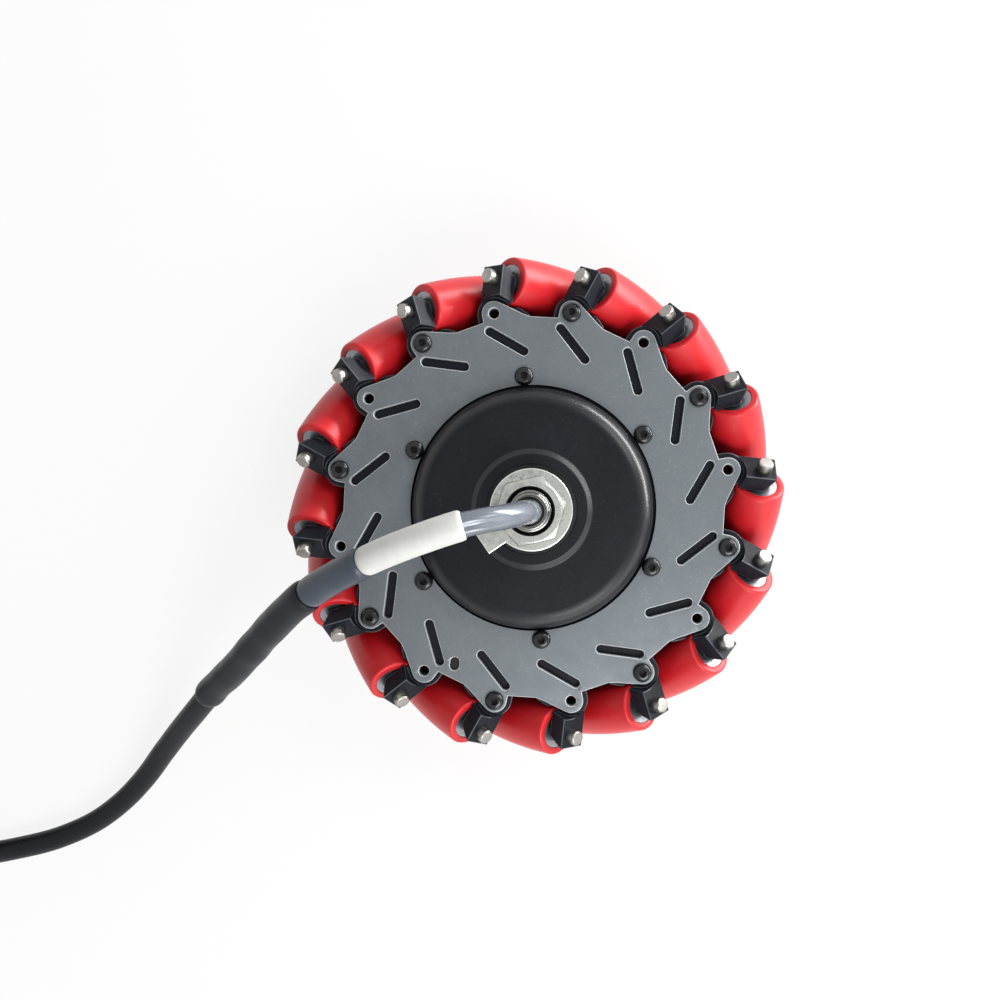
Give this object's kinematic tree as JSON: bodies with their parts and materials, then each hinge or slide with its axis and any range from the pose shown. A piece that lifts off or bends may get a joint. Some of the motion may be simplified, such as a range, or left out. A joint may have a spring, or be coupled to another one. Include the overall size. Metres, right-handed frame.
{
  "type": "mecanum wheel",
  "caption": "Mecanum wheel with red barrel rollers set at an angle round a hub motor, bright plates, a hollow threaded axle with nut, and its cable.",
  "frame": {"origin": "centre of the flat back of the motor, which the wheel lies on", "axes": "+Z along the axle towards its threaded end, +Y towards the top of the pictured face"},
  "size_m": [0.4907, 0.2736, 0.1205],
  "materials": {
    "grey_plate": "satin, grey anodised with bright cut edges",
    "black_casting": "fine-textured black coating",
    "bright_steel": "ground and polished",
    "black_screw": "glossy black oxide",
    "black_motor": "satin black coating with a fine texture",
    "magnet": "nickel plated",
    "bearing_steel": "ground",
    "seal_rubber": "matte",
    "lamination": "varnished",
    "copper_wire": "enamelled copper",
    "core_metal": "machined",
    "zinc_steel": "zinc plated",
    "black_cable": "semi-matte sheath",
    "white_sleeve": "off-white fibre sleeve",
    "grey_shrink": "blue-grey heat shrink",
    "black_shrink": "black heat shrink",
    "connector_plastic": "moulded",
    "red_tread": "satin polyurethane"
  },
  "bodies": {
    "axle": {"axle": "zinc_steel", "axle_nut": "zinc_steel", "tongue_washer": "zinc_steel", "stator_core": "lamination", "windings": "copper_wire", "stator_carrier": "core_metal", "cable_grommet": "seal_rubber", "motor_cable": "black_cable", "white_sleeve": "white_sleeve", "grey_shrink": "grey_shrink", "black_shrink": "black_shrink", "cable_coil": "black_cable", "cable_tie": "seal_rubber", "cable_connector": "connector_plastic"},
    "wheel": {"front_plate": "grey_plate", "rear_plate": "grey_plate", "front_lug_ring": "black_casting", "rear_lug_ring": "black_casting", "roller_axles": "bright_steel", "tab_screws": "black_screw", "motor_screws": "black_screw", "clock_dowels": "bright_steel", "motor_drum": "black_motor", "front_cover": "black_motor", "rear_cover": "black_motor", "magnets": "magnet", "motor_bearings": "bearing_steel", "shaft_seal": "seal_rubber"},
    "roller_01": {"tread_01": "red_tread", "core_01": "core_metal"},
    "roller_02": {"tread_02": "red_tread", "core_02": "core_metal"},
    "roller_03": {"tread_03": "red_tread", "core_03": "core_metal"},
    "roller_04": {"tread_04": "red_tread", "core_04": "core_metal"},
    "roller_05": {"tread_05": "red_tread", "core_05": "core_metal"},
    "roller_06": {"tread_06": "red_tread", "core_06": "core_metal"},
    "roller_07": {"tread_07": "red_tread", "core_07": "core_metal"},
    "roller_08": {"tread_08": "red_tread", "core_08": "core_metal"},
    "roller_09": {"tread_09": "red_tread", "core_09": "core_metal"},
    "roller_10": {"tread_10": "red_tread", "core_10": "core_metal"},
    "roller_11": {"tread_11": "red_tread", "core_11": "core_metal"},
    "roller_12": {"tread_12": "red_tread", "core_12": "core_metal"},
    "roller_13": {"tread_13": "red_tread", "core_13": "core_metal"},
    "roller_14": {"tread_14": "red_tread", "core_14": "core_metal"},
    "roller_15": {"tread_15": "red_tread", "core_15": "core_metal"},
    "roller_16": {"tread_16": "red_tread", "core_16": "core_metal"}
  },
  "joints": [
    {"name": "wheel_spin", "type": "hinge", "parent": "axle", "child": "wheel", "pos_m": [0, 0, 0.033], "axis": [0, 0, 1], "continuous": true},
    {"name": "roller_01_spin", "type": "hinge", "parent": "wheel", "child": "roller_01", "pos_m": [0.00973, 0.08887, 0.033], "axis": [0.7029, -0.077, -0.7071], "continuous": true},
    {"name": "roller_02_spin", "type": "hinge", "parent": "wheel", "child": "roller_02", "pos_m": [0.043, 0.07838, 0.033], "axis": [0.6199, -0.3401, -0.7071], "continuous": true},
    {"name": "roller_03_spin", "type": "hinge", "parent": "wheel", "child": "roller_03", "pos_m": [0.06972, 0.05596, 0.033], "axis": [0.4426, -0.5515, -0.7071], "continuous": true},
    {"name": "roller_04_spin", "type": "hinge", "parent": "wheel", "child": "roller_04", "pos_m": [0.08583, 0.02502, 0.033], "axis": [0.1979, -0.6789, -0.7071], "continuous": true},
    {"name": "roller_05_spin", "type": "hinge", "parent": "wheel", "child": "roller_05", "pos_m": [0.08887, -0.00973, 0.033], "axis": [-0.077, -0.7029, -0.7071], "continuous": true},
    {"name": "roller_06_spin", "type": "hinge", "parent": "wheel", "child": "roller_06", "pos_m": [0.07838, -0.043, 0.033], "axis": [-0.3401, -0.6199, -0.7071], "continuous": true},
    {"name": "roller_07_spin", "type": "hinge", "parent": "wheel", "child": "roller_07", "pos_m": [0.05596, -0.06972, 0.033], "axis": [-0.5515, -0.4426, -0.7071], "continuous": true},
    {"name": "roller_08_spin", "type": "hinge", "parent": "wheel", "child": "roller_08", "pos_m": [0.02502, -0.08583, 0.033], "axis": [-0.6789, -0.1979, -0.7071], "continuous": true},
    {"name": "roller_09_spin", "type": "hinge", "parent": "wheel", "child": "roller_09", "pos_m": [-0.00973, -0.08887, 0.033], "axis": [-0.7029, 0.077, -0.7071], "continuous": true},
    {"name": "roller_10_spin", "type": "hinge", "parent": "wheel", "child": "roller_10", "pos_m": [-0.043, -0.07838, 0.033], "axis": [-0.6199, 0.3401, -0.7071], "continuous": true},
    {"name": "roller_11_spin", "type": "hinge", "parent": "wheel", "child": "roller_11", "pos_m": [-0.06972, -0.05596, 0.033], "axis": [-0.4426, 0.5515, -0.7071], "continuous": true},
    {"name": "roller_12_spin", "type": "hinge", "parent": "wheel", "child": "roller_12", "pos_m": [-0.08583, -0.02502, 0.033], "axis": [-0.1979, 0.6789, -0.7071], "continuous": true},
    {"name": "roller_13_spin", "type": "hinge", "parent": "wheel", "child": "roller_13", "pos_m": [-0.08887, 0.00973, 0.033], "axis": [0.077, 0.7029, -0.7071], "continuous": true},
    {"name": "roller_14_spin", "type": "hinge", "parent": "wheel", "child": "roller_14", "pos_m": [-0.07838, 0.043, 0.033], "axis": [0.3401, 0.6199, -0.7071], "continuous": true},
    {"name": "roller_15_spin", "type": "hinge", "parent": "wheel", "child": "roller_15", "pos_m": [-0.05596, 0.06972, 0.033], "axis": [0.5515, 0.4426, -0.7071], "continuous": true},
    {"name": "roller_16_spin", "type": "hinge", "parent": "wheel", "child": "roller_16", "pos_m": [-0.02502, 0.08583, 0.033], "axis": [0.6789, 0.1979, -0.7071], "continuous": true}
  ]
}
